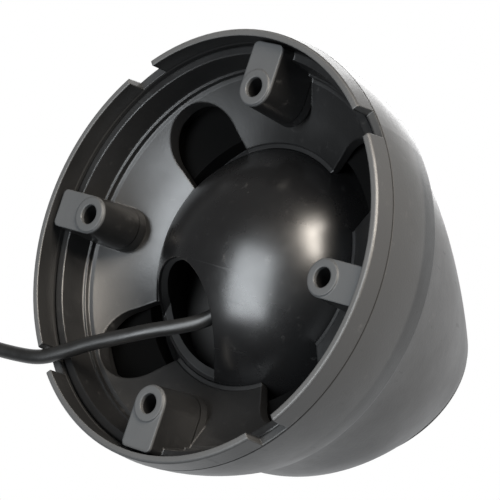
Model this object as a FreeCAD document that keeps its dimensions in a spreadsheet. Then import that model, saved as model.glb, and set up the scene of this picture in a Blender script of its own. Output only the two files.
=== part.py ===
"""Surface-mount car tweeter: a screw-down cup with a ball socket, an angled head that turns in it, and its lead.

Frame: millimetres, origin at the centre of the mounting plane, +Z from the mounting surface towards the
listener, +X through the first screw boss. The head looks towards -X at rest.
"""
import FreeCAD, Part
import math
import os
import Sketcher

Vector = FreeCAD.Vector
doc = FreeCAD.newDocument("car_tweeter")
Z_AXIS = Vector(0, 0, 1)
Y_AXIS = Vector(0, 1, 0)
QUARTERS = 4

# ---------------------------------------------------------------- driving dimensions
DIMENSIONS = {
    # mounting cup, outside
    "rim_radius": 35.0,
    "rim_wall": 1.15,
    "rim_bevel": 0.3,
    "band_height": 3.65,
    "band_flare": 0.3,
    "seam_groove": 0.15,
    "edge_inset": 2.1,
    "cup_height": 17.5,
    "cup_curve": 45.0,
    "lip_thickness": 1.3,
    "lip_reach": 2.5,
    "stop_depth": 12.0,
    "bore_taper": 0.65,
    "stop_reach": 1.3,
    "notch_width": 5.2,
    "notch_depth": 3.4,
    # socket frame with its screw bosses and four petals
    "frame_top": 4.0,
    "frame_clearance": 0.1,
    "frame_bevel": 0.4,
    "frame_wall": 1.25,
    "wall_draft": 0.8,
    "ledge_depth": 8.3,
    "ledge_step": 0.4,
    "ledge_rise": 0.9,
    "petal_root": 30.2,
    "petal_root_depth": 9.4,
    "petal_inset": 1.5,
    "petal_tip_depth": 13.9,
    "petal_thickness": 1.5,
    "arch_radius": 6.2,
    "arch_place": 24.1,
    "arch_throat": 5.3,
    "boss_circle": 26.0,
    "boss_half_width": 3.1,
    "boss_recess": 1.2,
    "boss_hole": 1.65,
    "boss_hole_depth": 9.0,
    "boss_ring_width": 1.25,
    "boss_ring_height": 0.25,
    "boss_corner": 0.9,
    "boss_draft": 3.5,
    # ball and swivel
    "ball_radius": 21.8,
    "ball_wall": 1.6,
    "ball_height": 24.0,
    "running_gap": 0.08,
    "guide_height": 1.2,
    "guide_inset": 0.2,
    "opening_radius": 9.3,
    "opening_place": 13.4,
    "opening_angle": 206.6,
    "opening_top": 14.0,
    "flange_thickness": 1.6,
    "ball_flange_radius": 27.0,
    "swivel_bore": 22.6,
    "swivel_plate": 1.1,
    "swivel_gap": 0.2,
    "skirt_gap": 0.3,
    "screw_circle": 24.9,
    "screw_radius": 1.1,
    "screw_head": 2.0,
    "screw_clearance": 0.1,
    # angled head
    "skirt_inset": 1.45,
    "lower_belly": 27.8,
    "upper_belly": 24.8,
    "mouth_radius": 17.5,
    "mouth_offset": 9.6,
    "mouth_height": 49.65,
    "mouth_tilt": 24.5,
    "lower_sway": 2.05,
    "upper_sway": 3.9,
    "head_wall": 1.8,
    "mouth_bore": 16.2,
    "driver_bore": 14.8,
    "seat_depth": 4.0,
    "seat_thickness": 1.6,
    # driver, stacked upwards from the back of its yoke
    "driver_depth": 14.2,
    "yoke_radius": 13.4,
    "yoke_base": 2.0,
    "yoke_height": 8.0,
    "yoke_bore": 10.75,
    "magnet_radius": 9.0,
    "magnet_height": 4.0,
    "pole_radius": 9.4,
    "felt_radius": 8.0,
    "felt_height": 1.0,
    "coil_radius": 9.95,
    "former_wall": 0.2,
    "coil_wire": 0.4,
    "coil_bottom": 5.6,
    "coil_height": 3.0,
    "former_bottom": 5.2,
    "dome_rise": 3.2,
    "dome_skin": 0.3,
    "roll_width": 2.8,
    "roll_radius": 1.7,
    "suspension_gap": 0.05,
    "carrier_wall": 1.2,
    "carrier_fit": 0.1,
    "face_height": 1.65,
    "face_flare": 2.0,
    "bezel_height": 0.9,
    "bezel_width": 1.9,
    "bezel_step": 0.4,
    "grille_rise": 2.6,
    "grille_skin": 0.5,
    "grille_hole": 0.75,
    "grille_pitch": 2.5,
    # wiring inside the head
    "board_radius": 22.6,
    "board_thickness": 1.4,
    "grommet_radius": 3.0,
    "grommet_drop": 2.0,
    "grommet_rise": 1.2,
    "tab_width": 2.8,
    "tab_thickness": 0.8,
    "tab_height": 3.0,
    "tab_spacing": 7.0,
    "strip_width": 4.5,
    "strip_length": 12.0,
    "strip_thickness": 1.4,
    "wire_radius": 0.5,
    # lead
    "cable_radius": 1.2,
    "hank_radius": 13.2,
    "hank_width": 4.9,
    "hank_height": 4.9,
    "hank_round": 1.1,
    "plug_length": 12.0,
    "plug_width": 6.0,
    "plug_height": 4.4,
    "contact_length": 5.0,
    "contact_size": 1.0,
    "contact_pitch": 2.5,
}

sheet = doc.addObject("Spreadsheet::Sheet", "Sheet")
for row, (alias, number) in enumerate(DIMENSIONS.items(), start=1):
    sheet.set(f"A{row}", alias.replace("_", " "))
    sheet.set(f"B{row}", str(number))
    sheet.setAlias(f"B{row}", alias)
doc.recompute()


class Size:
    """A number together with the spreadsheet formula that gives it."""

    def __init__(self, formula, number):
        self.formula = formula
        self.number = number

    def __add__(self, other):
        return joined(self, "+", other, self.number + amount(other))

    def __sub__(self, other):
        return joined(self, "-", other, self.number - amount(other))

    def __mul__(self, other):
        return joined(self, "*", other, self.number * amount(other))

    def __truediv__(self, other):
        return joined(self, "/", other, self.number / amount(other))


def amount(value):
    return value.number if isinstance(value, Size) else float(value)


def formula(value):
    return value.formula if isinstance(value, Size) else repr(float(value))


def joined(left, sign, right, number):
    return Size(f"({formula(left)} {sign} {formula(right)})", number)


def cell(alias):
    return Size(f"Sheet.{alias}", float(sheet.get(alias)))


def sine(angle):
    return Size(f"sin({formula(angle)})", math.sin(math.radians(amount(angle))))


def cosine(angle):
    return Size(f"cos({formula(angle)})", math.cos(math.radians(amount(angle))))


def root(value):
    return Size(f"sqrt({formula(value)})", math.sqrt(amount(value)))


def bind(item, **sizes):
    """Ties properties of a document object to formulas; Base_x stands for Placement.Base.x."""
    for name, size in sizes.items():
        path = f"Placement.Base.{name[-1]}" if name.startswith("Base_") else name
        item.setExpression(path, formula(size))
    return item


# ---------------------------------------------------------------- building helpers
def origin_plane(body, role):
    return next(item for item in body.Origin.OriginFeatures if item.Role == role)


def new_body(label):
    body = doc.addObject("PartDesign::Body", label)
    body.Label = label
    return body


def new_sketch(body, name, role, height=None):
    sketch = body.newObject("Sketcher::SketchObject", name)
    sketch.AttachmentSupport = [(origin_plane(body, role), "")]
    sketch.MapMode = "FlatFace"
    if height is not None:
        sketch.setExpression("AttachmentOffset.Base.z", formula(height))
    return sketch


def pin(sketch, geometry, end, corner):
    """Holds one end of a sketch element at a corner given by two sizes."""
    for kind, size, axis in (("DistanceX", corner[0], -2), ("DistanceY", corner[1], -1)):
        if abs(amount(size)) < 1e-9:
            sketch.addConstraint(Sketcher.Constraint("PointOnObject", geometry, end, axis))
            continue
        index = sketch.addConstraint(Sketcher.Constraint(kind, -1, 1, geometry, end, amount(size)))
        sketch.setExpression(f"Constraints[{index}]", formula(size))


def arc_between(start, end, radius, turn):
    """Arc from start to end; turn is +1 when its centre lies to the left of the way, -1 to the right."""
    chord = end - start
    middle = (start + end) * 0.5
    reach = math.sqrt(max(radius ** 2 - (chord.Length / 2) ** 2, 0.0))
    side = Vector(-chord.y, chord.x, 0).normalize() * turn
    centre = middle + side * reach
    first, last = (start, end) if turn > 0 else (end, start)
    angles = [math.atan2(point.y - centre.y, point.x - centre.x) for point in (first, last)]
    return Part.ArcOfCircle(Part.Circle(centre, Z_AXIS, radius), angles[0], angles[1])


def outline(sketch, corners, bends=None):
    """Closed outline through corners; bends maps an edge's number to (radius, turn) where it is an arc."""
    bends = bends or {}
    points = [Vector(amount(across), amount(up), 0) for across, up in corners]
    first = sketch.GeometryCount
    count = len(corners)
    ends = []
    for number in range(count):
        start, end = points[number], points[(number + 1) % count]
        if number in bends:
            radius, turn = bends[number]
            sketch.addGeometry(arc_between(start, end, amount(radius), turn), False)
            ends.append((1, 2) if turn > 0 else (2, 1))
        else:
            sketch.addGeometry(Part.LineSegment(start, end), False)
            ends.append((1, 2))
    for number in range(count):
        following = (number + 1) % count
        sketch.addConstraint(Sketcher.Constraint(
            "Coincident", first + number, ends[number][1], first + following, ends[following][0]))
        pin(sketch, first + number, ends[number][0], corners[number])
        if number in bends:
            radius = bends[number][0]
            index = sketch.addConstraint(Sketcher.Constraint("Radius", first + number, amount(radius)))
            sketch.setExpression(f"Constraints[{index}]", formula(radius))
    return sketch


def circle(sketch, centre, radius):
    """Full circle held at its centre and radius."""
    middle = Vector(amount(centre[0]), amount(centre[1]), 0)
    geometry = sketch.addGeometry(Part.Circle(middle, Z_AXIS, amount(radius)), False)
    pin(sketch, geometry, 3, centre)
    index = sketch.addConstraint(Sketcher.Constraint("Radius", geometry, amount(radius)))
    sketch.setExpression(f"Constraints[{index}]", formula(radius))
    return sketch


def turned(label, corners, bends=None):
    """Body turned about Z from an outline of (radius, height) corners."""
    body = new_body(label)
    sketch = outline(new_sketch(body, label + "_section", "XZ_Plane"), corners, bends)
    revolution = body.newObject("PartDesign::Revolution", label + "_turned")
    revolution.Profile = sketch
    revolution.ReferenceAxis = (sketch, ["V_Axis"])
    revolution.Angle = 360
    doc.recompute()
    return body


def raised(body, sketch, height, taper=None):
    pad = body.newObject("PartDesign::Pad", sketch.Name + "_pad")
    pad.Profile = sketch
    pad.setExpression("Length", formula(height))
    if taper is not None:
        pad.setExpression("TaperAngle", formula(taper))
    doc.recompute()
    return pad


def sunk(body, sketch, depth, upwards=True):
    """Pocket that must remove material, cutting towards +Z of its sketch when upwards."""
    before = body.Shape.Volume
    pocket = body.newObject("PartDesign::Pocket", sketch.Name + "_pocket")
    pocket.Profile = sketch
    pocket.Reversed = upwards
    pocket.setExpression("Length", formula(depth))
    doc.recompute()
    if body.Shape.Volume > before - 1e-6:
        raise ValueError(f"{sketch.Name} cuts nothing")
    return pocket


def repeated(body, feature, count=QUARTERS):
    """Repeats features evenly about Z."""
    pattern = body.newObject("PartDesign::PolarPattern", feature.Name + "_pattern")
    pattern.Originals = [feature]
    pattern.Axis = (origin_plane(body, "Z_Axis"), [""])
    pattern.Angle = 360
    pattern.Occurrences = count
    body.Tip = pattern
    doc.recompute()
    return pattern


def primitive(kind, name, **sizes):
    return bind(doc.addObject(kind, name), **sizes)


def combined(kind, name, first, second):
    """Part::Cut, or Part::Common of two objects."""
    item = doc.addObject(kind, name)
    item.Base = first
    item.Tool = second
    doc.recompute()
    return item


def fused(name, pieces):
    item = doc.addObject("Part::MultiFuse", name)
    item.Shapes = pieces
    doc.recompute()
    return item


def ring_of(name, radius, bottom, height, place, first_angle=0, count=QUARTERS):
    """Fuse of equal cylinders spaced evenly on a circle about Z."""
    pieces = []
    for number in range(count):
        angle = first_angle + 360.0 * number / count
        pieces.append(primitive(
            "Part::Cylinder", f"{name}_{number}", Radius=radius, Height=height,
            Base_x=place * math.cos(math.radians(angle)), Base_y=place * math.sin(math.radians(angle)),
            Base_z=bottom))
    return fused(name, pieces)


# ---------------------------------------------------------------- mounting cup
rim_inner = cell("rim_radius") - cell("rim_wall")
band_outer = cell("rim_radius") + cell("band_flare")
lip_bottom = cell("cup_height") - cell("lip_thickness")
edge_radius = cell("rim_radius") - cell("edge_inset")
lip_inner = edge_radius - cell("lip_reach")
stop_inner = rim_inner - cell("bore_taper") - cell("stop_reach")


def build_cup():
    groove = cell("seam_groove")
    bore_end = rim_inner - cell("bore_taper")
    body = turned("dome_shell", [
        (rim_inner, Size("0.0", 0.0)),
        (cell("rim_radius") - cell("rim_bevel"), Size("0.0", 0.0)),
        (cell("rim_radius"), cell("rim_bevel")),
        (band_outer, cell("band_height") - groove),
        (band_outer - groove, cell("band_height")),
        (band_outer, cell("band_height") + groove),
        (edge_radius, cell("cup_height")),
        (lip_inner, cell("cup_height")),
        (lip_inner, lip_bottom),
        (stop_inner, lip_bottom),
        (stop_inner, cell("stop_depth")),
        (bore_end, cell("stop_depth")),
        (rim_inner, cell("frame_top")),
    ], {5: (cell("cup_curve"), 1)})
    sketch = new_sketch(body, "notch", "XY_Plane")
    half = cell("notch_width") / 2
    inner = rim_inner - cell("rim_wall")
    outer = cell("rim_radius") + cell("rim_wall")
    outline(sketch, [(inner, half * -1), (outer, half * -1), (outer, half), (inner, half)])
    repeated(body, sunk(body, sketch, cell("notch_depth")))
    body.Placement = FreeCAD.Placement(Vector(0, 0, 0), FreeCAD.Rotation(Z_AXIS, 45))
    return body


# ---------------------------------------------------------------- socket frame
ROUND_END = 1.0001
frame_outer = rim_inner - cell("frame_clearance")
frame_outer_low = frame_outer - cell("bore_taper")
frame_bottom = cell("stop_depth") - cell("frame_clearance")
petal_front = cell("petal_tip_depth") + cell("petal_thickness")
petal_tip = cell("ball_radius") - cell("petal_inset")


def trim_outside(body, top):
    """Turns away whatever the posts' draft pushed out past the ring's outer face."""
    beyond = frame_outer + cell("boss_half_width")
    sketch = outline(new_sketch(body, "trim_section", "XZ_Plane"), [
        (frame_outer, Size("0.0", 0.0)), (beyond, Size("0.0", 0.0)), (beyond, top), (frame_outer_low, top),
        (frame_outer_low, frame_bottom), (frame_outer, cell("frame_top") + cell("frame_bevel")),
    ])
    groove = body.newObject("PartDesign::Groove", "trim")
    groove.Profile = sketch
    groove.ReferenceAxis = (sketch, ["V_Axis"])
    groove.Angle = 360
    doc.recompute()


def add_bosses(body):
    """Four U-shaped screw posts that stand on the petals and join the ring wall."""
    half = cell("boss_half_width")
    centre = cell("boss_circle")
    reach = frame_outer - cell("frame_bevel")
    corner = cell("boss_corner")
    sketch = new_sketch(body, "boss", "XY_Plane", cell("boss_recess"))
    outline(sketch, [
        (centre, half * -1), (reach - corner, half * -1), (reach, corner - half), (reach, half - corner),
        (reach - corner, half), (centre, half),
    ], {1: (corner, 1), 3: (corner, 1), 5: (half * ROUND_END, 1)})
    depth = cell("petal_root_depth") + cell("petal_thickness") - cell("boss_recess")
    repeated(body, raised(body, sketch, depth, cell("boss_draft")))
    trim_outside(body, cell("petal_root_depth") + cell("petal_thickness"))
    ring = new_sketch(body, "boss_ring", "XY_Plane", cell("boss_recess") - cell("boss_ring_height"))
    circle(ring, (centre, 0), cell("boss_hole") + cell("boss_ring_width"))
    repeated(body, raised(body, ring, cell("boss_ring_height") * 2))
    hole = new_sketch(body, "boss_hole", "XY_Plane", cell("boss_recess") - cell("boss_ring_height"))
    circle(hole, (centre, 0), cell("boss_hole"))
    repeated(body, sunk(body, hole, cell("boss_hole_depth")))


def throat_corners(inner, outer, half_inner, half_outer):
    """Corners of a four-sided gap that widens outwards along the 45 degree line."""
    diagonal = math.sqrt(0.5)
    corners = []
    for along, across in ((inner, half_inner * -1), (outer, half_outer * -1), (outer, half_outer),
                          (inner, half_inner)):
        corners.append(((along - across) * diagonal, (along + across) * diagonal))
    return corners


def cut_throats(body, name, inner, outer, depth, height):
    sketch = new_sketch(body, name, "XY_Plane", height)
    widest = cell("arch_radius") - 0.05
    outline(sketch, throat_corners(inner, outer, cell("arch_throat"), widest))
    repeated(body, sunk(body, sketch, depth))


def build_socket():
    inner_top = frame_outer - cell("frame_wall") - cell("frame_bevel")
    inner_low = inner_top - cell("wall_draft")
    inner_step = inner_low - cell("ledge_step")
    body = turned("socket_frame", [
        (frame_outer, cell("frame_top") + cell("frame_bevel")),
        (frame_outer - cell("frame_bevel"), cell("frame_top")),
        (inner_top, cell("frame_top")),
        (inner_low, cell("ledge_depth")),
        (inner_step, cell("ledge_depth")),
        (inner_step, cell("ledge_depth") + cell("ledge_rise")),
        (cell("petal_root"), cell("petal_root_depth")),
        (petal_tip, cell("petal_tip_depth")),
        (petal_tip, petal_front),
        (cell("petal_root") - cell("ledge_step"), frame_bottom),
        (frame_outer_low, frame_bottom),
    ])
    add_bosses(body)
    arch = new_sketch(body, "arch", "XY_Plane", cell("ledge_depth") - cell("ledge_rise"))
    place = cell("arch_place") * math.sqrt(0.5)
    circle(arch, (place, place), cell("arch_radius"))
    repeated(body, sunk(body, arch, cell("stop_depth")))
    cut_throats(body, "throat", cell("arch_place") / 2, cell("arch_place"), cell("stop_depth"),
                cell("ledge_depth") - cell("ledge_rise"))
    return body


def build_friction_ring():
    """Four arcs of a friction ring behind the petals' tips, which guide the ball."""
    bottom = cell("petal_tip_depth") + cell("guide_inset")
    top = bottom + cell("guide_height")
    reach = cell("ball_radius") + cell("running_gap")

    def at(height):
        drop = cell("ball_height") - height
        return root(reach * reach - drop * drop)

    body = turned("friction_ring", [
        (at(bottom), bottom), (petal_tip, bottom), (petal_tip, top), (at(top), top),
    ], {3: (reach, 1)})
    cut_throats(body, "guide_gap", cell("arch_place") / 2, cell("arch_place"), cell("stop_depth"),
                cell("ledge_depth"))
    return body


# ---------------------------------------------------------------- ball, swivel ring and head shell
skirt_bottom = cell("cup_height") + cell("skirt_gap")
skirt_radius = edge_radius - cell("skirt_inset")
flange_top = skirt_bottom + cell("flange_thickness")
ball_flange_top = flange_top + cell("flange_thickness")
swivel_top = lip_bottom - cell("swivel_gap")
swivel_bottom = swivel_top - cell("swivel_plate")


def build_ball():
    radius = cell("ball_radius")
    solid = primitive("Part::Sphere", "ball_outside", Radius=radius, Base_z=cell("ball_height"))
    flange = primitive("Part::Cylinder", "ball_flange", Radius=cell("ball_flange_radius"),
                       Height=cell("flange_thickness"), Base_z=flange_top)
    hollow = primitive("Part::Sphere", "ball_inside", Radius=radius - cell("ball_wall"),
                       Base_z=cell("ball_height"))
    above = primitive("Part::Cylinder", "ball_above", Radius=radius * 1.5, Height=radius * 2,
                      Base_z=ball_flange_top)
    opening = primitive(
        "Part::Cylinder", "cable_opening", Radius=cell("opening_radius"), Height=cell("opening_top"),
        Base_x=cell("opening_place") * cosine(cell("opening_angle")),
        Base_y=cell("opening_place") * sine(cell("opening_angle")))
    holes = ring_of("ball_screw_holes", cell("screw_radius") + cell("screw_clearance") / 2, flange_top,
                    cell("flange_thickness"), cell("screw_circle"))
    shell = combined("Part::Cut", "ball_shell", fused("ball_solid", [solid, flange]),
                     fused("ball_tools", [hollow, above, opening, holes]))
    shell.Label = "ball_shell"
    return shell


def build_swivel_ring():
    """Ring behind the cup's lip that keeps the head in the cup while it turns."""
    body = turned("swivel_ring", [
        (cell("swivel_bore"), swivel_bottom),
        (stop_inner - cell("skirt_gap"), swivel_bottom),
        (stop_inner - cell("skirt_gap"), swivel_top),
        (lip_inner - cell("skirt_gap"), swivel_top),
        (lip_inner - cell("skirt_gap"), skirt_bottom),
        (cell("swivel_bore"), skirt_bottom),
    ])
    holes = new_sketch(body, "swivel_hole", "XY_Plane", swivel_bottom)
    circle(holes, (cell("screw_circle"), 0), cell("screw_radius") + cell("screw_clearance"))
    repeated(body, sunk(body, holes, cell("flange_thickness") * 4))
    sink = new_sketch(body, "swivel_sink", "XY_Plane", swivel_bottom)
    circle(sink, (cell("screw_circle"), 0), cell("screw_head") + cell("screw_clearance"))
    repeated(body, sunk(body, sink, cell("swivel_plate")))
    return body


def build_swivel_screws():
    """Four screws from behind, through the swivel ring and the head, into the ball's flange."""
    pieces = []
    for number in range(QUARTERS):
        angle = math.radians(360.0 * number / QUARTERS)
        across = cell("screw_circle") * math.cos(angle)
        along = cell("screw_circle") * math.sin(angle)
        head = primitive("Part::Cylinder", f"screw_head_{number}", Radius=cell("screw_head"),
                         Height=cell("swivel_plate"), Base_x=across, Base_y=along, Base_z=swivel_bottom)
        shank = primitive("Part::Cylinder", f"screw_shank_{number}", Radius=cell("screw_radius"),
                          Height=ball_flange_top - swivel_bottom, Base_x=across, Base_y=along,
                          Base_z=swivel_bottom)
        pieces.append(fused(f"screw_{number}", [head, shank]))
    group = fused("swivel_screws", pieces)
    group.Label = "swivel_screws"
    return group


def bezier(steps, share):
    """Cubic curve through the first and last of four sizes, drawn by the middle two."""
    rest = 1 - share
    weights = (rest ** 3, 3 * share * rest ** 2, 3 * share ** 2 * rest, share ** 3)
    total = steps[0] * weights[0]
    for step, weight in zip(steps[1:], weights[1:]):
        total = total + step * weight
    return total


SECTIONS = 7
AT_AXIS = cell("mouth_offset") * 0


def head_section(name, share, inset):
    """One of the circles that the head is lofted through; the planes lean over little by little."""
    offset = cell("mouth_offset")
    radius = bezier((skirt_radius, cell("lower_belly"), cell("upper_belly"),
                     cell("mouth_radius")), share)
    shift = bezier((AT_AXIS, offset / 3 - cell("lower_sway"), offset * 2 / 3 + cell("upper_sway"), offset),
                   share)
    section = doc.addObject("Part::Circle", name)
    bind(section, Radius=radius - inset, Base_x=shift * -1,
         Base_z=skirt_bottom + (cell("mouth_height") - skirt_bottom) * share)
    section.Placement.Rotation = FreeCAD.Rotation(Y_AXIS, -1)
    section.setExpression("Placement.Rotation.Angle", formula(cell("mouth_tilt") * -share))
    return section


def head_loft(name, inset):
    loft = doc.addObject("Part::Loft", name)
    shares = [number / (SECTIONS - 1) for number in range(SECTIONS)]
    loft.Sections = [head_section(f"{name}_{number}", share, inset) for number, share in enumerate(shares)]
    loft.Solid = True
    doc.recompute()
    return loft


def at_mouth(item, back):
    """Leans an item over to the head's mouth, with its own origin set back from the mouth plane."""
    tilt = cell("mouth_tilt")
    item.Placement = FreeCAD.Placement(Vector(0, 0, 0), FreeCAD.Rotation(Y_AXIS, -1))
    bind(item, Base_x=(cell("mouth_offset") * -1) + back * sine(tilt),
         Base_z=cell("mouth_height") - back * cosine(tilt))
    item.setExpression("Placement.Rotation.Angle", formula(tilt * -1))
    return item


def build_head():
    """Hollow oblique shell, closed behind by a flange and in front by the seat for the driver."""
    outside = head_loft("head_outside", Size("0.0", 0.0))
    shell = combined("Part::Cut", "head_wall", outside, head_loft("head_inside", cell("head_wall")))
    flange = primitive("Part::Cylinder", "head_flange",
                       Radius=skirt_radius - cell("head_wall") + cell("skirt_gap"),
                       Height=cell("flange_thickness"), Base_z=skirt_bottom)
    seat_block = cell("seat_depth") + cell("seat_thickness")
    block = primitive("Part::Cylinder", "mouth_block", Radius=cell("mouth_radius") * 1.5, Height=seat_block)
    block = combined("Part::Common", "mouth_wall", at_mouth(block, seat_block), head_again("mouth_outside"))
    bore = primitive("Part::Cylinder", "flange_bore", Radius=cell("swivel_bore"),
                     Height=cell("cup_height") * 2, Base_z=AT_AXIS)
    counterbore = primitive("Part::Cylinder", "mouth_counterbore", Radius=cell("mouth_bore"),
                            Height=cell("seat_depth") * 2)
    throat = primitive("Part::Cylinder", "mouth_throat", Radius=cell("driver_bore"), Height=seat_block * 2)
    holes = ring_of("head_screw_holes", cell("screw_radius") + cell("screw_clearance"), skirt_bottom,
                    cell("flange_thickness"), cell("screw_circle"))
    low_bore = combined("Part::Common", "low_bore", bore, below_ball_flange())
    shell = combined("Part::Cut", "head_shell", fused("head_blank", [shell, flange, block]), fused(
        "head_tools", [low_bore, at_mouth(counterbore, cell("seat_depth")),
                       at_mouth(throat, seat_block + cell("head_wall")), holes]))
    shell.Label = "head_shell"
    return shell


def head_again(name):
    return head_loft(name, Size("0.0", 0.0))


def below_ball_flange():
    return primitive("Part::Cylinder", "below_flange", Radius=cell("rim_radius"), Height=flange_top + 0.5)


# ---------------------------------------------------------------- driver
dome_seat = cell("yoke_height") + cell("dome_rise")
face_bottom = dome_seat + cell("dome_skin") / 2
carrier_flange_bottom = cell("driver_depth") - cell("seat_depth")
insert_radius = cell("mouth_bore") - cell("carrier_fit")
face_top = face_bottom + cell("face_height")


def on_driver(body):
    return at_mouth(body, cell("driver_depth"))


def build_motor():
    """Steel yoke cup, neodymium disc and pole plate, with felt on top."""
    zero = Size("0.0", 0.0)
    yoke = turned("yoke", [
        (zero, zero), (cell("yoke_radius"), zero), (cell("yoke_radius"), cell("yoke_height")),
        (cell("yoke_bore"), cell("yoke_height")), (cell("yoke_bore"), cell("yoke_base")),
        (zero, cell("yoke_base")),
    ])
    magnet_top = cell("yoke_base") + cell("magnet_height")
    discs = [on_driver(yoke)]
    for label, radius, bottom, top in (
            ("magnet", cell("magnet_radius"), cell("yoke_base"), magnet_top),
            ("pole_plate", cell("pole_radius"), magnet_top, cell("yoke_height")),
            ("damping_felt", cell("felt_radius"), cell("yoke_height"),
             cell("yoke_height") + cell("felt_height"))):
        body = new_body(label)
        sketch = circle(new_sketch(body, label + "_outline", "XY_Plane", bottom), (0, 0), radius)
        raised(body, sketch, top - bottom)
        discs.append(on_driver(body))
    return discs


def build_diaphragm():
    """Dome, former and voice coil, which move together, and the roll that they hang in."""
    zero = Size("0.0", 0.0)
    radius = cell("coil_radius")
    rise = cell("dome_rise")
    sphere = (radius * radius + rise * rise) / (rise * 2)
    inner_sphere = sphere - cell("dome_skin")
    drop = sphere - rise
    inner_edge = root(inner_sphere * inner_sphere - drop * drop)
    dome = turned("dome_diaphragm", [
        (radius, dome_seat), (zero, dome_seat + rise), (zero, dome_seat + rise - cell("dome_skin")),
        (inner_edge, dome_seat),
    ], {0: (sphere, 1), 2: (inner_sphere, -1)})
    former = turned("coil_former", [
        (radius - cell("former_wall"), cell("former_bottom")), (radius, cell("former_bottom")),
        (radius, dome_seat), (radius - cell("former_wall"), dome_seat),
    ])
    coil_top = cell("coil_bottom") + cell("coil_height")
    coil = turned("voice_coil", [
        (radius, cell("coil_bottom")), (radius + cell("coil_wire"), cell("coil_bottom")),
        (radius + cell("coil_wire"), coil_top), (radius, coil_top),
    ])
    skin = cell("dome_skin")
    roll_end = radius + cell("roll_width")
    low = dome_seat - skin / 2
    high = dome_seat + skin / 2
    root_radius = radius + cell("suspension_gap")
    surround = turned("surround", [
        (root_radius, low), (root_radius + skin, low), (roll_end - skin, low), (insert_radius, low),
        (insert_radius, high), (roll_end, high), (root_radius, high),
    ], {1: (cell("roll_radius") - skin, -1), 5: (cell("roll_radius"), 1)})
    return [on_driver(body) for body in (dome, former, coil, surround)]


def build_front():
    """Carrier ring, faceplate, bezel and grille."""
    fit = cell("carrier_fit")
    inner = cell("yoke_radius") + fit
    outer = cell("driver_bore") - fit
    top = face_bottom - cell("dome_skin")
    window = cell("coil_radius") + cell("roll_width")
    carrier = turned("driver_carrier", [
        (outer, cell("yoke_base")), (inner, cell("yoke_base")), (inner, cell("yoke_height")),
        (cell("yoke_bore") + cell("carrier_wall"), cell("yoke_height")),
        (cell("yoke_bore") + cell("carrier_wall"), cell("yoke_height") + cell("felt_height")),
        (window, carrier_flange_bottom), (window, top), (insert_radius, top),
        (insert_radius, carrier_flange_bottom), (outer, carrier_flange_bottom),
    ])
    faceplate = turned("faceplate", [
        (window, face_bottom), (insert_radius, face_bottom), (insert_radius, face_top),
        (window + cell("face_flare"), face_top),
    ])
    bezel_outer = cell("mouth_radius") - cell("bezel_step")
    bezel_inner = bezel_outer - cell("bezel_width")
    bezel_top = cell("driver_depth") + cell("bezel_height")
    edge = cell("bezel_step") / 2
    bezel = turned("bezel_ring", [
        (bezel_inner, face_top), (insert_radius, face_top), (insert_radius, cell("driver_depth")),
        (bezel_outer, cell("driver_depth")), (bezel_outer, bezel_top - edge), (bezel_outer - edge, bezel_top),
        (bezel_inner, bezel_top),
    ])
    return [on_driver(body) for body in (carrier, faceplate, bezel, build_grille(bezel_inner))]


def build_grille(bezel_inner):
    """Low steel dome with rings of round holes."""
    zero = Size("0.0", 0.0)
    edge = bezel_inner - cell("carrier_fit")
    rise = cell("grille_rise")
    sphere = (edge * edge + rise * rise) / (rise * 2)
    inner_sphere = sphere - cell("grille_skin")
    drop = sphere - rise
    inner_edge = root(inner_sphere * inner_sphere - drop * drop)
    body = turned("grille", [
        (edge, face_top), (zero, face_top + rise), (zero, face_top + rise - cell("grille_skin")),
        (inner_edge, face_top),
    ], {0: (sphere, 1), 2: (inner_sphere, -1)})
    centre = circle(new_sketch(body, "grille_hole_0", "XY_Plane", face_top), (0, 0), cell("grille_hole"))
    sunk(body, centre, rise * 2)
    for ring in range(1, 6):
        place = cell("grille_pitch") * ring
        sketch = new_sketch(body, f"grille_hole_{ring}", "XY_Plane", face_top)
        circle(sketch, (place, 0), cell("grille_hole"))
        repeated(body, sunk(body, sketch, rise * 2), 6 * ring)
    return body


# ---------------------------------------------------------------- wiring inside the head
WIRE_RUNS = 6
WIRE_STIFFNESS = 0.9
board_top = ball_flange_top + cell("board_thickness")


def build_board():
    disc = primitive("Part::Cylinder", "board_disc", Radius=cell("board_radius"),
                     Height=cell("board_thickness"), Base_z=ball_flange_top)
    hole = primitive("Part::Cylinder", "board_hole", Radius=cell("grommet_radius"),
                     Height=cell("board_thickness"), Base_z=ball_flange_top)
    board = combined("Part::Cut", "terminal_board", disc, hole)
    board.Label = "terminal_board"
    collar = cell("cable_radius")
    neck = cell("grommet_radius")
    bottom = ball_flange_top - cell("grommet_drop")
    top = board_top + cell("grommet_rise")
    grommet = turned("cord_grommet", [
        (Size("0.0", 0.0), bottom), (neck, bottom), (neck + collar, bottom + collar / 2),
        (neck + collar, ball_flange_top), (neck, ball_flange_top), (neck, board_top),
        (neck + collar, board_top), (neck + collar, top), (Size("0.0", 0.0), top),
    ])
    return [board, grommet]


def tab_pair(label, base, holder):
    """Two flat terminal tabs side by side; holder sets where the pair stands."""
    pieces = []
    for number, side in enumerate((-0.5, 0.5)):
        tab = primitive("Part::Box", f"{label}_{number}", Length=cell("tab_width"),
                        Width=cell("tab_thickness"), Height=cell("tab_height"))
        bind(tab, Base_x=cell("tab_width") * -0.5, Base_y=cell("tab_spacing") * side
             - cell("tab_thickness") / 2, Base_z=base)
        pieces.append(tab)
    pair = fused(label, pieces)
    pair.Label = label
    return holder(pair)


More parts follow.
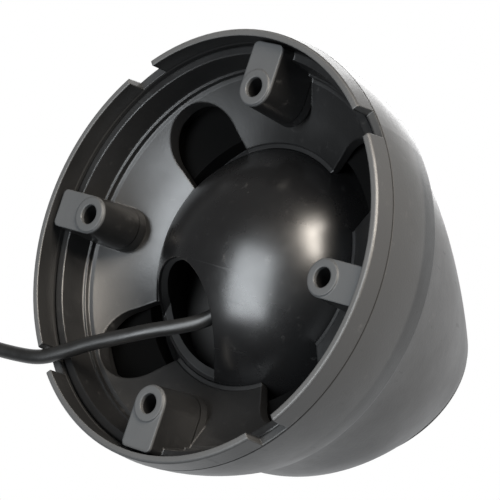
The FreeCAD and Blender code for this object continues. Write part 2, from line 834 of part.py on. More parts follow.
def build_strip():
    """Insulating strip on the back of the yoke, which carries the driver's two tabs."""
    strip = primitive("Part::Box", "terminal_strip", Length=cell("strip_width"),
                      Width=cell("strip_length"), Height=cell("strip_thickness"))
    strip.Label = "terminal_strip"
    tilt = cell("mouth_tilt")
    back = cell("driver_depth") + cell("strip_thickness")
    strip.Placement = FreeCAD.Placement(Vector(0, 0, 0), FreeCAD.Rotation(Y_AXIS, -1))
    half = cell("strip_width") / 2
    bind(strip, Base_x=(cell("mouth_offset") * -1) + back * sine(tilt) - half * cosine(tilt),
         Base_y=cell("strip_length") * -0.5,
         Base_z=cell("mouth_height") - back * cosine(tilt) - half * sine(tilt))
    strip.setExpression("Placement.Rotation.Angle", formula(tilt * -1))
    return strip


def on_board(pair):
    return bind(pair, Base_x=cell("board_radius") / 2, Base_z=board_top)


def behind_strip(pair):
    return at_mouth(pair, cell("driver_depth") + cell("strip_thickness") + cell("tab_height"))


def mouth_point(back, sideways):
    """Point on the driver's axis, set back from the mouth plane and moved sideways along Y."""
    tilt = math.radians(amount(cell("mouth_tilt")))
    return Vector(-amount(cell("mouth_offset")) + amount(back) * math.sin(tilt), sideways,
                  amount(cell("mouth_height")) - amount(back) * math.cos(tilt))


def curve_points(hull):
    """Evenly spread points on the cubic curve that leaves and meets its ends along the hull's sides."""
    points = []
    for step in range(WIRE_RUNS + 1):
        share = step / WIRE_RUNS
        rest = 1 - share
        weights = (rest ** 3, 3 * share * rest ** 2, 3 * share ** 2 * rest, share ** 3)
        points.append(sum((point * weight for point, weight in zip(hull, weights)), Vector()))
    return points


def build_wires():
    """Two leads from the board's tabs up to the tabs on the driver."""
    wires = []
    tab_end = cell("driver_depth") + cell("strip_thickness") + cell("tab_height")
    for label, side in (("lead_wire_positive", 0.5), ("lead_wire_negative", -0.5)):
        sideways = amount(cell("tab_spacing")) * side
        start = Vector(amount(cell("board_radius")) / 2, sideways, amount(board_top + cell("tab_height")))
        finish = mouth_point(tab_end, sideways)
        rise = (finish.z - start.z) * WIRE_STIFFNESS
        lean = finish - mouth_point(tab_end + rise, sideways)
        hull = [start, start + Z_AXIS * rise, finish - lean, finish]
        wires.append(tube(label, curve_points(hull), cell("wire_radius")))
    return wires


# ---------------------------------------------------------------- lead
# Route of the lead, from the grommet on the turning axis, out of the ball's opening, through the notch and
# along the surface to the hank.
CABLE_ROUTE = [
    (0.0, 0.0, 18.95), (0.0, 0.0, 15.4), (-0.9, 1.2, 12.2), (-3.2, 2.7, 9.9), (-6.8, 2.9, 8.4),
    (-10.5, 1.3, 6.8), (-12.9, -2.6, 5.1), (-14.9, -7.3, 3.85), (-17.3, -12.1, 2.9), (-19.6, -17.3, 2.2),
    (-22.2, -22.0, 1.75), (-24.4, -26.5, 1.45), (-25.0, -32.2, 1.3), (-25.2, -39.2, 1.28),
    (-24.7, -47.6, 1.26), (-24.6, -56.3, 1.26), (-25.0, -65.0, 1.26),
]
HANK_CENTRE = (-11.8, -65.0)
TAIL_ROUTE = [(-11.8, -78.2, 1.26), (-3.8, -78.5, 1.26), (3.6, -77.6, 1.45), (9.6, -75.2, 2.2)]


def tangent_path(points):
    """Straight runs joined by arcs, each as large as its two runs allow."""
    edges = []
    radii = []
    here = points[0]
    for before, corner, after in zip(points, points[1:], points[2:]):
        arriving = (corner - before).normalize()
        leaving = (after - corner).normalize()
        shorter = min((corner - before).Length, (after - corner).Length)
        half_turn = arriving.getAngle(leaving) / 2
        trim = 0.45 * shorter
        radii.append(trim / math.tan(half_turn))
        start = corner - arriving * trim
        end = corner + leaving * trim
        towards = (leaving - arriving).normalize()
        middle = corner + towards * (radii[-1] / math.cos(half_turn) - radii[-1])
        edges.append(Part.LineSegment(here, start).toShape())
        edges.append(Part.Arc(start, middle, end).toShape())
        here = end
    edges.append(Part.LineSegment(here, points[-1]).toShape())
    return Part.Wire(edges), radii


def tube(label, points, radius, stop=None):
    """Round tube along a route, cut back where it runs into the solid named by stop."""
    path, radii = tangent_path(points)
    aim = (points[1] - points[0]).normalize()
    section = Part.Wire([Part.Circle(points[0], aim, amount(radius)).toShape()])
    solid = path.makePipeShell([section], True, False)
    expected = math.pi * amount(radius) ** 2 * path.Length
    if abs(solid.Volume / expected - 1) > 0.02:
        raise ValueError(f"{label} is not swept cleanly")
    print(label, "length", round(path.Length, 1), "arc radii", [round(value, 1) for value in radii])
    if stop is not None:
        solid = solid.cut(stop)
    feature = doc.addObject("Part::Feature", label)
    feature.Label = label
    feature.Shape = solid
    feature.Placement = FreeCAD.Placement()
    return feature


def build_lead():
    """Cable, its hank of put-away length, a short tail and a two-way plug."""
    half = cell("hank_width") / 2
    rounding = cell("hank_round")
    inner = cell("hank_radius") - half
    outer = cell("hank_radius") + half
    top = cell("hank_height")
    foot = Size("0.0", 0.0)
    hank = turned("cable_coil", [
        (inner + rounding, foot), (outer - rounding, foot), (outer, rounding), (outer, top - rounding),
        (outer - rounding, top), (inner + rounding, top), (inner, top - rounding), (inner, rounding),
    ], {number: (rounding, 1) for number in (1, 3, 5, 7)})
    hank.Placement = FreeCAD.Placement(Vector(*HANK_CENTRE, 0), FreeCAD.Rotation())
    doc.recompute()
    cable = tube("cable", [Vector(*point) for point in CABLE_ROUTE], cell("cable_radius"), hank.Shape)
    tail = tube("cable_tail", [Vector(*point) for point in TAIL_ROUTE], cell("cable_radius"), hank.Shape)
    return [cable, hank, tail] + build_plug()


def build_plug():
    """Two-way plug on the end of the tail, lying on the surface."""
    end = Vector(*TAIL_ROUTE[-1])
    before = Vector(*TAIL_ROUTE[-2])
    heading = math.degrees(math.atan2(end.y - before.y, end.x - before.x))
    turn = FreeCAD.Rotation(Z_AXIS, heading)
    housing = new_body("plug_housing")
    sketch = new_sketch(housing, "plug_outline", "XY_Plane")
    half = cell("plug_width") / 2
    shoulder = cell("plug_length") / 4
    neck = half / 2
    outline(sketch, [
        (Size("0.0", 0.0), neck * -1), (shoulder, half * -1), (cell("plug_length"), half * -1),
        (cell("plug_length"), half), (shoulder, half), (Size("0.0", 0.0), neck),
    ])
    raised(housing, sketch, cell("plug_height"))
    housing.Placement = FreeCAD.Placement(Vector(end.x, end.y, 0), turn)
    contacts = []
    for number, side in enumerate((-0.5, 0.5)):
        size = cell("contact_size")
        contact = primitive("Part::Box", f"contact_{number}", Length=cell("contact_length"), Width=size,
                            Height=size, Base_x=cell("plug_length"),
                            Base_y=cell("contact_pitch") * side - size / 2,
                            Base_z=cell("plug_height") / 2 - size / 2)
        contacts.append(contact)
    group = fused("plug_contacts", contacts)
    group.Label = "plug_contacts"
    group.Placement = FreeCAD.Placement(Vector(end.x, end.y, 0), turn)
    return [housing, group]


# ---------------------------------------------------------------- assembly
def check_document():
    for item in doc.Objects:
        if "Invalid" in item.State or "Error" in item.State:
            raise ValueError(f"{item.Name} failed: {item.State}")


def export(items):
    os.makedirs("parts", exist_ok=True)
    for item in items:
        shape = item.Shape
        if shape.isNull() or not shape.isValid() or not shape.Solids:
            raise ValueError(f"{item.Label} has no valid solid")
    for item in items:
        item.Shape.exportStep(f"parts/{item.Label}.step")
        print(f"{item.Label:22s} solids {len(item.Shape.Solids)}  volume {item.Shape.Volume:9.1f}")


def build_all():
    items = [build_cup(), build_socket(), build_friction_ring(), build_ball(), build_swivel_ring()]
    items += [build_swivel_screws(), build_head()]
    items += build_motor() + build_diaphragm() + build_front() + build_board()
    items += [tab_pair("board_tabs", 0, on_board), build_strip()]
    items += [tab_pair("driver_tabs", 0, behind_strip)]
    items += build_wires() + build_lead()
    return items


parts = build_all()
doc.recompute()
check_document()
export(parts)
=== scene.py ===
import math

import bpy
from mathutils import Matrix, Vector


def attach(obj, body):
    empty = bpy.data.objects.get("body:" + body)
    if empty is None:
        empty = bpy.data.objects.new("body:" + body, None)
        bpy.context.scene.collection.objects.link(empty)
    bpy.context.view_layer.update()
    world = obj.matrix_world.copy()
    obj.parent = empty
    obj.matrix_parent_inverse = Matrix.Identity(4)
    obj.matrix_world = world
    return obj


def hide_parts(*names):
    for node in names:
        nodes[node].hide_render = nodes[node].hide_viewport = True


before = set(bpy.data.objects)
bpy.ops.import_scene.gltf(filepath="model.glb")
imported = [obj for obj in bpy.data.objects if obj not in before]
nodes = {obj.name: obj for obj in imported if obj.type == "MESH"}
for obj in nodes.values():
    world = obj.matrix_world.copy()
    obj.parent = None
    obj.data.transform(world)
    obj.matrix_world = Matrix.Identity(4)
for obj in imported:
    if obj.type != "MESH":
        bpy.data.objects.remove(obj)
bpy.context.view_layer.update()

MM = 0.001
scene = bpy.context.scene

# Where one finish gives way to another, in metres: heights from the rim's plane, radii from the turning axis
POST_FACE = 0.0016  # height of the posts' faces
PETAL_TIP = 0.0203  # radius of the petals' tips
PETAL_ROOT = 0.0302  # radius of the petals' roots
PETAL_DEPTH = 0.0093  # height above which the petals lie
BORE = 0.0341  # radius within which the cup's bore lies
SEAM = 0.00365  # height of the seam round the cup
BALL_CENTRE = (0.0, 0.0, 0.024)
BALL_SKIN = 0.0213  # distance from its centre within which the ball is hollow
EDGE_BLUR = 0.0001  # half the width of the step between two finishes

# Depths of what is given in shading only, in metres
PETAL_DISH = 0.0018
GRAIN_DEPTH = 0.00002
FLOW_DEPTH = 0.00006
HAIRLINE_DEPTH = 0.00001
BRUSHING_DEPTH = 0.00001
TANGLE_DEPTH = 0.00008
WEAVE_DEPTH = 0.00004
DRAG_DEPTH = 0.00003
WINDING_DEPTH = 0.00005


# ---------------------------------------------------------------- materials
class Paint:
    """A procedural material, built up node by node in the model's own coordinates."""

    def __init__(self, name, base, roughness, **inputs):
        self.material = bpy.data.materials.new(name)
        self.material.use_nodes = True
        self.tree = self.material.node_tree
        self.shader = self.tree.nodes["Principled BSDF"]
        self.shader.inputs["Base Color"].default_value = (*base, 1.0)
        self.shader.inputs["Roughness"].default_value = roughness
        for socket, value in inputs.items():
            self.shader.inputs[socket.replace("_", " ")].default_value = value
        self.normal = None
        self.where = self.node("ShaderNodeTexCoord").outputs["Object"]

    def node(self, kind, **settings):
        made = self.tree.nodes.new(kind)
        for key, value in settings.items():
            setattr(made, key, value)
        return made

    def link(self, output, target):
        self.tree.links.new(output, target)

    def stretched(self, scale, turn):
        """The coordinates scaled along each axis and turned, for marks that run one way."""
        mapping = self.node("ShaderNodeMapping")
        mapping.inputs["Scale"].default_value = scale
        mapping.inputs["Rotation"].default_value = turn
        self.link(self.where, mapping.inputs["Vector"])
        return mapping.outputs["Vector"]

    def noise(self, scale, detail, rough, stretch=None, turn=(0.0, 0.0, 0.0)):
        noise = self.node("ShaderNodeTexNoise")
        noise.inputs["Scale"].default_value = scale
        noise.inputs["Detail"].default_value = detail
        noise.inputs["Roughness"].default_value = rough
        vector = self.stretched(stretch, turn) if stretch else self.where
        self.link(vector, noise.inputs["Vector"])
        return noise.outputs["Fac"]

    def waves(self, direction, scale, distortion=0.0):
        wave = self.node("ShaderNodeTexWave", bands_direction=direction)
        wave.inputs["Scale"].default_value = scale
        wave.inputs["Distortion"].default_value = distortion
        self.link(self.where, wave.inputs["Vector"])
        return wave.outputs["Fac"]

    def ranged(self, value, low, high, out_low=0.0, out_high=1.0):
        """A value carried from one range to another, and held at the new range's ends."""
        ranging = self.node("ShaderNodeMapRange")
        ranging.inputs["From Min"].default_value = low
        ranging.inputs["From Max"].default_value = high
        ranging.inputs["To Min"].default_value = out_low
        ranging.inputs["To Max"].default_value = out_high
        self.link(value, ranging.inputs["Value"])
        return ranging.outputs["Result"]

    def above(self, value, level):
        """1 above a level and 0 below it, with a short step between."""
        return self.ranged(value, level - EDGE_BLUR, level + EDGE_BLUR)

    def below(self, value, level):
        """1 below a level and 0 above it, with a short step between."""
        return self.ranged(value, level - EDGE_BLUR, level + EDGE_BLUR, 1.0, 0.0)

    def maths(self, operation, first, second):
        maths = self.node("ShaderNodeMath", operation=operation)
        self.link(first, maths.inputs[0])
        self.link(second, maths.inputs[1])
        return maths.outputs[0]

    def product(self, first, second):
        return self.maths("MULTIPLY", first, second)

    def total(self, first, second):
        return self.maths("ADD", first, second)

    def duller(self, rough, mask, amount):
        """Roughness raised by an amount where a mask is 1."""
        return self.total(rough, self.ranged(mask, 0.0, 1.0, 0.0, amount))

    def mixed(self, factor, first, second):
        """Colour between two others; the first may be a colour or another node's output."""
        mix = self.node("ShaderNodeMix", data_type="RGBA")
        # The colour mode's sockets, which share their names with those of the other modes
        factor_in, first_in, second_in = mix.inputs[0], mix.inputs[6], mix.inputs[7]
        if isinstance(first, tuple):
            first_in.default_value = (*first, 1.0)
        else:
            self.link(first, first_in)
        second_in.default_value = (*second, 1.0)
        self.link(factor, factor_in)
        return mix.outputs[2]

    def roughened(self, value):
        self.link(value, self.shader.inputs["Roughness"])

    def coloured(self, colour):
        self.link(colour, self.shader.inputs["Base Color"])

    def bumped(self, height, strength, distance):
        bump = self.node("ShaderNodeBump")
        bump.inputs["Strength"].default_value = strength
        bump.inputs["Distance"].default_value = distance
        self.link(height, bump.inputs["Height"])
        if self.normal is not None:
            self.link(self.normal, bump.inputs["Normal"])
        self.normal = bump.outputs["Normal"]
        self.link(self.normal, self.shader.inputs["Normal"])

    def rounded(self, radius):
        """Softens sharp edges in shading, as a moulding's edges are."""
        bevel = self.node("ShaderNodeBevel", samples=6)
        bevel.inputs["Radius"].default_value = radius
        self.normal = bevel.outputs["Normal"]
        self.link(self.normal, self.shader.inputs["Normal"])

    def axes(self):
        """The three coordinates in the model's frame."""
        parts = self.node("ShaderNodeSeparateXYZ")
        self.link(self.where, parts.inputs["Vector"])
        return parts.outputs

    def radius(self):
        """Distance from the Z axis of the model's frame."""
        x, y, z = self.axes()
        across = self.node("ShaderNodeCombineXYZ")
        self.link(x, across.inputs["X"])
        self.link(y, across.inputs["Y"])
        length = self.node("ShaderNodeVectorMath", operation="LENGTH")
        self.link(across.outputs[0], length.inputs[0])
        return length.outputs["Value"]

    def distance_from(self, point):
        apart = self.node("ShaderNodeVectorMath", operation="DISTANCE")
        self.link(self.where, apart.inputs[0])
        apart.inputs[1].default_value = point
        return apart.outputs["Value"]


def scaled(colour, factor, lift=0.0):
    return tuple(channel * factor + lift for channel in colour)


def hairlines(paint, scale, threshold, turn):
    """Long thin scratches as a height field: the crests of a noise drawn out along one direction."""
    crests = paint.noise(scale, detail=3.0, rough=0.5, stretch=(1.0, 0.02, 0.25), turn=turn)
    return paint.ranged(crests, threshold, threshold + 0.02)


def moulded(name, base, speck, roughness, grain, rounding=0.00022, marks=0.25, zones=None, **inputs):
    """Injection-moulded plastic: rounded edges, fine grain, faint flow marks, hairlines and pale specks.

    grain is the scale and strength of the moulded texture, marks is the strength of the flow marks, and
    zones is a function that gives parts of the piece another colour or roughness.
    """
    paint = Paint(name, base, roughness, **inputs)
    paint.rounded(rounding)
    specks = paint.ranged(paint.noise(420.0, detail=8.0, rough=0.75), 0.60, 0.80, 0.0, 0.18)
    colour = paint.mixed(specks, base, speck)
    handled = paint.noise(90.0, detail=5.0, rough=0.6)
    rough = paint.ranged(handled, 0.3, 0.7, roughness - 0.05, roughness + 0.07)
    lines = paint.total(hairlines(paint, 900.0, threshold=0.70, turn=(0.3, 0.2, 0.9)),
                        hairlines(paint, 700.0, threshold=0.72, turn=(1.2, 0.1, -0.7)))
    rough = paint.total(rough, paint.ranged(lines, 0.0, 2.0, 0.0, 0.12))
    if zones:
        colour, rough = zones(paint, colour, rough)
    paint.coloured(colour)
    paint.roughened(rough)
    grain_scale, grain_strength = grain
    flow = paint.noise(160.0, detail=2.0, rough=0.4, stretch=(1.0, 1.0, 0.35))
    paint.bumped(paint.noise(grain_scale, detail=2.0, rough=0.5), grain_strength, GRAIN_DEPTH)
    paint.bumped(flow, marks, FLOW_DEPTH)
    paint.bumped(lines, 0.12, HAIRLINE_DEPTH)
    return paint.material


def socket_zones(paint, colour, rough):
    """Paler, eroded faces on the posts, and petals shaded as dished, a little duller towards their roots."""
    z = paint.axes()["Z"]
    radius = paint.radius()
    face = paint.below(z, POST_FACE)
    petal = paint.above(z, PETAL_DEPTH)
    dull = paint.ranged(radius, PETAL_TIP + 0.001, PETAL_ROOT - 0.005, 0.0, 0.12)
    outward = paint.ranged(radius, PETAL_TIP, PETAL_ROOT)
    dish = paint.ranged(paint.product(outward, outward), 0.0, 1.0, -1.0, 0.0)
    paint.bumped(paint.product(dish, petal), 1.0, PETAL_DISH)
    rough = paint.total(rough, paint.product(dull, petal))
    rough = paint.duller(rough, face, 0.22)
    return paint.mixed(face, colour, (0.030, 0.031, 0.032)), rough


def shell_seam_and_painted_light(paint, colour, rough):
    """Painted shade darkens the cup's bore, a painted highlight makes its rim's face paler, and a dark seam
    runs round it.
    """
    z = paint.axes()["Z"]
    bore = paint.below(paint.radius(), BORE)
    rim = paint.ranged(z, EDGE_BLUR, 2 * EDGE_BLUR, 1.0, 0.0)
    seam = paint.product(paint.ranged(z, SEAM - 2 * EDGE_BLUR, SEAM - EDGE_BLUR),
                         paint.ranged(z, SEAM + EDGE_BLUR, SEAM + 2 * EDGE_BLUR, 1.0, 0.0))
    # Near black in the bore: painted shade
    colour = paint.mixed(bore, colour, (0.005, 0.005, 0.005))
    # Paler on the rim's face: painted highlight
    colour = paint.mixed(rim, colour, (0.040, 0.040, 0.040))
    colour = paint.mixed(seam, colour, (0.001, 0.001, 0.001))
    return colour, paint.duller(rough, seam, 0.5)


def ball_hollow_painted_shade(paint, colour, rough):
    """The ball's hollow stays unpolished, and near black as painted shade."""
    hollow = paint.below(paint.distance_from(BALL_CENTRE), BALL_SKIN)
    rough = paint.duller(rough, hollow, 0.6)
    # Near black inside the hollow: painted shade
    return paint.mixed(hollow, colour, (0.0006, 0.0006, 0.0006)), rough


def metal(name, base, roughness, brushed):
    """Metal with fine lines if brushed and an even texture if not, and patches of a duller tone."""
    paint = Paint(name, base, roughness, Metallic=1.0)
    paint.rounded(0.0001)
    lines = paint.noise(1500.0, detail=3.0, rough=0.6, stretch=(1.0, 1.0, 0.03) if brushed else None)
    paint.roughened(paint.ranged(lines, 0.3, 0.7, roughness - 0.07, roughness + 0.1))
    paint.bumped(lines, 0.15, BRUSHING_DEPTH)
    patches = paint.ranged(paint.noise(300.0, detail=5.0, rough=0.6), 0.35, 0.7)
    paint.coloured(paint.mixed(patches, base, scaled(base, 0.72)))
    return paint.material


def fibrous(name, base, other, scale, roughness, strength):
    """Felt or pressed board: two tones in a dense tangle."""
    paint = Paint(name, base, roughness, Sheen_Weight=0.35)
    tangle = paint.noise(scale, detail=6.0, rough=0.75, stretch=(1.0, 0.5, 0.8), turn=(0.4, 0.3, 0.6))
    paint.coloured(paint.mixed(paint.ranged(tangle, 0.35, 0.68), base, other))
    paint.bumped(tangle, strength, TANGLE_DEPTH)
    return paint.material


def woven(name, base, other):
    """Coated silk: a fine plain weave under a dull coating."""
    paint = Paint(name, base, 0.55, Coat_Weight=0.25, Coat_Roughness=0.35)
    weave = paint.product(paint.waves("X", 420.0, distortion=0.6), paint.waves("Y", 420.0, distortion=0.6))
    paint.coloured(paint.mixed(weave, base, other))
    paint.bumped(weave, 0.35, WEAVE_DEPTH)
    return paint.material


def sheathed(name, base, roughness):
    """Extruded soft sheath: a fine drag texture, dust and finger marks."""
    paint = Paint(name, base, roughness, Specular_IOR_Level=0.45)
    handled = paint.noise(180.0, detail=5.0, rough=0.65)
    dust = paint.ranged(paint.noise(900.0, detail=6.0, rough=0.7), 0.62, 0.8, 0.0, 0.7)
    paint.roughened(paint.ranged(handled, 0.3, 0.7, roughness - 0.06, roughness + 0.12))
    paint.coloured(paint.mixed(dust, base, scaled(base, 2.2, lift=0.01)))
    paint.bumped(paint.noise(700.0, detail=4.0, rough=0.6), 0.12, DRAG_DEPTH)
    return paint.material


def wound(name, base):
    """Enamelled wire wound in close turns."""
    paint = Paint(name, base, 0.3, Metallic=0.9, Coat_Weight=0.5)
    turns = paint.waves("Z", 900.0)
    paint.coloured(paint.mixed(turns, scaled(base, 0.45), base))
    paint.bumped(turns, 0.6, WINDING_DEPTH)
    return paint.material


# Colour of the pale specks on the black mouldings
SPECK = (0.16, 0.155, 0.15)
materials = {
    "shell": moulded("black_shell_satin", (0.020, 0.020, 0.020), SPECK, roughness=0.42, grain=(2600.0, 0.9),
                     rounding=0.00035, marks=0.20, zones=shell_seam_and_painted_light),
    "head": moulded("black_head_satin", (0.021, 0.021, 0.0215), SPECK, roughness=0.42, grain=(2400.0, 1.0),
                    rounding=0.00025, marks=0.20),
    "moulding": moulded("black_moulding", (0.0045, 0.0045, 0.0046), SPECK, roughness=0.33,
                        grain=(2200.0, 0.6), rounding=0.00040, marks=0.8, zones=socket_zones),
    "plastic": moulded("black_plastic", (0.006, 0.006, 0.0062), SPECK, roughness=0.35, grain=(2600.0, 0.10),
                       rounding=0.00025, marks=0.22),
    # Near black, dull and almost without reflection, for the swivel ring: painted shade in the slots
    "painted_shade": moulded("black_painted_shade", (0.0006, 0.0006, 0.0006), (0.004, 0.004, 0.004), roughness=0.8,
                      grain=(2600.0, 0.10), Specular_IOR_Level=0.05),
    "ball": moulded("black_ball", (0.0045, 0.0045, 0.0047), SPECK, roughness=0.26, grain=(2600.0, 0.15),
                    rounding=0.0002, marks=0.20, zones=ball_hollow_painted_shade),
    "steel": metal("bright_steel", (0.55, 0.55, 0.56), roughness=0.32, brushed=True),
    "zinc": metal("zinc_plate", (0.62, 0.62, 0.58), roughness=0.36, brushed=False),
    "nickel": metal("nickel_plate", (0.72, 0.70, 0.66), roughness=0.18, brushed=False),
    "brass": metal("tinned_brass", (0.78, 0.62, 0.34), roughness=0.28, brushed=False),
    "foil": metal("coil_foil", (0.78, 0.78, 0.79), roughness=0.35, brushed=True),
    "grille": moulded("grille_powder_coat", (0.016, 0.016, 0.017), SPECK, roughness=0.5,
                      grain=(5200.0, 0.5), rounding=0.0001, marks=0.05),
    "felt": fibrous("black_felt", (0.012, 0.012, 0.013), (0.06, 0.06, 0.062), scale=1800.0, roughness=0.95,
                    strength=0.7),
    "silk": woven("coated_silk", (0.02, 0.02, 0.024), (0.05, 0.05, 0.056)),
    # Pressed board's own dark tone, darkened further as painted shade where the head's inside shows through
    # the opening
    "board": fibrous("pressed_board_and_painted_shade", (0.0022, 0.002, 0.0018), (0.005, 0.0045, 0.004), scale=1400.0,
                     roughness=0.8, strength=0.25),
    "rubber": sheathed("grommet_rubber", (0.018, 0.018, 0.018), roughness=0.6),
    "red": sheathed("red_wire_sheath", (0.32, 0.02, 0.018), roughness=0.4),
    "black": sheathed("black_wire_sheath", (0.02, 0.02, 0.02), roughness=0.4),
    "cable": sheathed("cable_sheath", (0.005, 0.005, 0.005), roughness=0.38),
    "copper": wound("enamelled_copper", (0.75, 0.32, 0.14)),
}
finishes = {
    "dome_shell": "shell", "bezel_ring": "head", "head_shell": "head", "socket_frame": "moulding",
    "swivel_ring": "painted_shade", "driver_carrier": "plastic", "faceplate": "plastic", "plug_housing": "plastic",
    "ball_shell": "ball", "friction_ring": "plastic", "damping_felt": "felt", "swivel_screws": "steel",
    "yoke": "zinc", "pole_plate": "zinc", "magnet": "nickel", "board_tabs": "brass", "driver_tabs": "brass",
    "plug_contacts": "brass", "coil_former": "foil", "voice_coil": "copper", "grille": "grille",
    "dome_diaphragm": "silk", "surround": "silk", "terminal_board": "board", "terminal_strip": "board",
    "cord_grommet": "rubber", "lead_wire_positive": "red", "lead_wire_negative": "black",
}
for name, finish in finishes.items():
    mesh = nodes[name].data
    mesh.materials.clear()
    mesh.materials.append(materials[finish])
    for face in mesh.polygons:
        face.material_index = 0


# ---------------------------------------------------------------- lead
# Points of the lead's route in millimetres: from the grommet on the head's turning axis, out of the ball's
# opening, through the notch and along the surface to the coil. The tail leads from the coil to the connector.
ROUTE = [
    (0.0, 0.0, 18.95), (0.0, 0.0, 15.4), (-0.9, 1.2, 12.2), (-3.2, 2.7, 9.9), (-6.8, 2.9, 8.4),
    (-10.5, 1.3, 6.8), (-12.9, -2.6, 5.1), (-14.9, -7.3, 3.85), (-17.3, -12.1, 2.9), (-19.6, -17.3, 2.2),
    (-22.2, -22.0, 1.75), (-24.4, -26.5, 1.45), (-25.0, -32.2, 1.3), (-25.2, -39.2, 1.28),
    (-24.7, -47.6, 1.26), (-24.6, -56.3, 1.26),
]
TAIL = [(-8.0, -79.6, 3.65), (-4.0, -79.7, 3.2), (-0.2, -79.3, 2.1), (4.4, -77.6, 1.5), (9.6, -75.2, 2.2)]
CABLE_RADIUS = 1.2
COIL_CENTRE = (-11.8, -65.0)
COIL_TURNS = ((14.4, 1.25), (11.95, 1.25), (11.95, 3.65), (14.4, 3.65))  # each turn's radius and height
TURN_POINTS = 16
STEP_OVER = 0.25  # share of a turn that is spent on passing to the next one


def coil_points():
    """Four and a quarter close turns, two side by side and two on top, anticlockwise seen from above."""
    points = []
    # The curve passes inside its points, so they stand further out by this divisor
    inset = math.cos(math.pi / TURN_POINTS) ** 2
    for step in range(len(COIL_TURNS) * TURN_POINTS + TURN_POINTS // 4):
        turn = min(step / TURN_POINTS, len(COIL_TURNS) - 1)
        here = COIL_TURNS[int(turn)]
        following = COIL_TURNS[min(int(turn) + 1, len(COIL_TURNS) - 1)]
        share = max(0.0, (turn - int(turn) - (1.0 - STEP_OVER)) / STEP_OVER)
        radius = (here[0] + (following[0] - here[0]) * share) / inset
        height = here[1] + (following[1] - here[1]) * share
        angle = math.pi + 2 * math.pi * step / TURN_POINTS
        points.append((COIL_CENTRE[0] + radius * math.cos(angle),
                       COIL_CENTRE[1] + radius * math.sin(angle), height))
    return points


def nurbs(name, points, radius):
    """Round tube along a smooth curve, from sizes in millimetres."""
    curve = bpy.data.curves.new(name, "CURVE")
    curve.dimensions = "3D"
    curve.bevel_depth = radius * MM
    curve.bevel_resolution = 8
    curve.use_fill_caps = True
    curve.resolution_u = 10
    spline = curve.splines.new("NURBS")
    spline.points.add(len(points) - 1)
    for point, place in zip(spline.points, points):
        point.co = (*(value * MM for value in place), 1.0)
    spline.order_u = 3
    spline.use_endpoint_u = True
    made = bpy.data.objects.new(name, curve)
    scene.collection.objects.link(made)
    return made


def centreline_length(curve_object):
    data = curve_object.data.copy()
    data.bevel_depth = 0.0
    bare = bpy.data.objects.new("measure", data)
    mesh = bpy.data.meshes.new_from_object(bare)
    length = 0.0
    for edge in mesh.edges:
        start, end = (mesh.vertices[index].co for index in edge.vertices)
        length += (start - end).length
    bpy.data.objects.remove(bare)
    bpy.data.meshes.remove(mesh)
    return length


lead = nurbs("lead", ROUTE + coil_points() + TAIL, CABLE_RADIUS)
lead.data.materials.append(materials["cable"])
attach(lead, "cup")
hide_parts("cable", "cable_coil", "cable_tail")
lead_length = centreline_length(lead)
print("lead length", round(lead_length, 4))


# ---------------------------------------------------------------- stage, lights and camera
FLOOR_SIZE = 6.0
FLOOR_HEIGHT = -0.0002  # a hair under the rim, so that the two never share a plane
FLOOR_COLOUR = (0.72, 0.72, 0.72, 1.0)
FLOOR_ROUGHNESS = 0.85
SKY = (0.97, 0.985, 1.0, 1.0)
BACKDROP = (1.0, 1.0, 1.0, 1.0)
# Strength of the surroundings against the height of a direction: dark below the mounting plane, white above
SWEEP = {"From Min": -0.30, "From Max": 0.35, "To Min": 0.08, "To Max": 1.02}
LIGHT_TARGET = Vector((0.0, 0.0, 0.015))
LENS_MM = 231.8
SENSOR_MM = 36.0
EYE = Vector((-0.0304, 0.3465, -0.3593))
AHEAD = Vector((0.0639, -0.6810, 0.7295)).normalized()
UPWARD = Vector((0.9469, -0.1893, -0.2597))


def floor():
    """Pale table that the rim stands on. It shows from above only, so the cup's open side can be seen."""
    bpy.ops.mesh.primitive_plane_add(size=FLOOR_SIZE, location=(0, 0, FLOOR_HEIGHT))
    table = bpy.context.object
    table.name = "table"
    material = bpy.data.materials.new("pale_table")
    material.use_nodes = True
    tree = material.node_tree
    shader = tree.nodes["Principled BSDF"]
    shader.inputs["Base Color"].default_value = FLOOR_COLOUR
    shader.inputs["Roughness"].default_value = FLOOR_ROUGHNESS
    clear = tree.nodes.new("ShaderNodeBsdfTransparent")
    side = tree.nodes.new("ShaderNodeNewGeometry")
    mix = tree.nodes.new("ShaderNodeMixShader")
    tree.links.new(side.outputs["Backfacing"], mix.inputs[0])
    tree.links.new(shader.outputs[0], mix.inputs[1])
    tree.links.new(clear.outputs[0], mix.inputs[2])
    tree.links.new(mix.outputs[0], tree.nodes["Material Output"].inputs["Surface"])
    table.data.materials.append(material)
    table.visible_shadow = False
    table.visible_diffuse = False
    table.visible_glossy = False


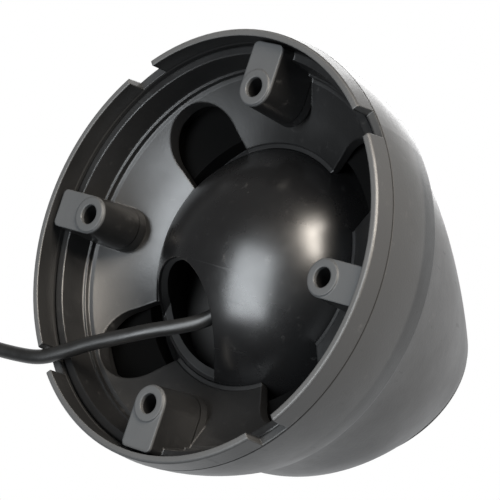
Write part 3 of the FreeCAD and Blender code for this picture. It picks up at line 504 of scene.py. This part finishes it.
def studio():
    """White sweep above the mounting plane, dark room below it; the camera sees plain white."""
    world = bpy.data.worlds.new("studio")
    scene.world = world
    world.use_nodes = True
    tree = world.node_tree
    backdrop = tree.nodes["Background"]
    backdrop.inputs["Color"].default_value = BACKDROP
    around = tree.nodes.new("ShaderNodeBackground")
    around.inputs["Color"].default_value = SKY
    direction = tree.nodes.new("ShaderNodeTexCoord")
    parts = tree.nodes.new("ShaderNodeSeparateXYZ")
    ramp = tree.nodes.new("ShaderNodeMapRange")
    for end, value in SWEEP.items():
        ramp.inputs[end].default_value = value
    tree.links.new(direction.outputs["Generated"], parts.inputs["Vector"])
    tree.links.new(parts.outputs["Z"], ramp.inputs["Value"])
    tree.links.new(ramp.outputs["Result"], around.inputs["Strength"])
    rays = tree.nodes.new("ShaderNodeLightPath")
    blend = tree.nodes.new("ShaderNodeMixShader")
    tree.links.new(rays.outputs["Is Camera Ray"], blend.inputs[0])
    tree.links.new(around.outputs[0], blend.inputs[1])
    tree.links.new(backdrop.outputs[0], blend.inputs[2])
    tree.links.new(blend.outputs[0], tree.nodes["World Output"].inputs["Surface"])


def area_light(name, direction, distance, along, length, width, power, colour=(1.0, 1.0, 1.0)):
    """Softbox at a distance from the cup, facing it, with its long side laid along a direction."""
    light = bpy.data.lights.new(name, "AREA")
    light.shape = "RECTANGLE"
    light.size = length
    light.size_y = width
    light.energy = power
    light.color = colour
    made = bpy.data.objects.new(name, light)
    scene.collection.objects.link(made)
    back = Vector(direction).normalized()
    across = back.cross(Vector(along)).normalized()
    long_side = across.cross(back)
    facing = Matrix((long_side, across, back)).transposed().to_4x4()
    made.matrix_world = Matrix.Translation(LIGHT_TARGET + back * distance) @ facing
    made.visible_camera = False


def aim_camera():
    """Looks up into the cup's open side, from below the mounting plane."""
    data = bpy.data.cameras.new("camera")
    data.sensor_width = SENSOR_MM
    data.lens = LENS_MM
    data.clip_start = 0.01
    data.clip_end = 20.0
    camera = bpy.data.objects.new("camera", data)
    scene.collection.objects.link(camera)
    right = AHEAD.cross(UPWARD).normalized()
    upright = right.cross(AHEAD)
    facing = Matrix((right, upright, -AHEAD)).transposed().to_4x4()
    camera.matrix_world = Matrix.Translation(EYE) @ facing
    scene.camera = camera


floor()
studio()
scene.view_settings.view_transform = "Standard"

# As the camera sees them: a cool key softbox in front at the left, a warm one in front at the upper right,
# and one behind the right edge.
area_light("key", direction=(-0.25, 0.10, -0.96), distance=1.0, along=(1.0, 0.0, 0.0), length=1.05,
           width=0.60, power=25.0, colour=(0.91, 0.96, 1.0))
area_light("warm", direction=(0.62, 0.67, -0.41), distance=1.0, along=(0.0, 0.0, 1.0), length=0.5,
           width=0.5, power=34.0, colour=(1.0, 0.92, 0.82))
area_light("edge", direction=(0.45, -0.50, 0.74), distance=1.2, along=(1.0, -0.3, -0.4), length=0.55,
           width=0.45, power=4.2)
aim_camera()
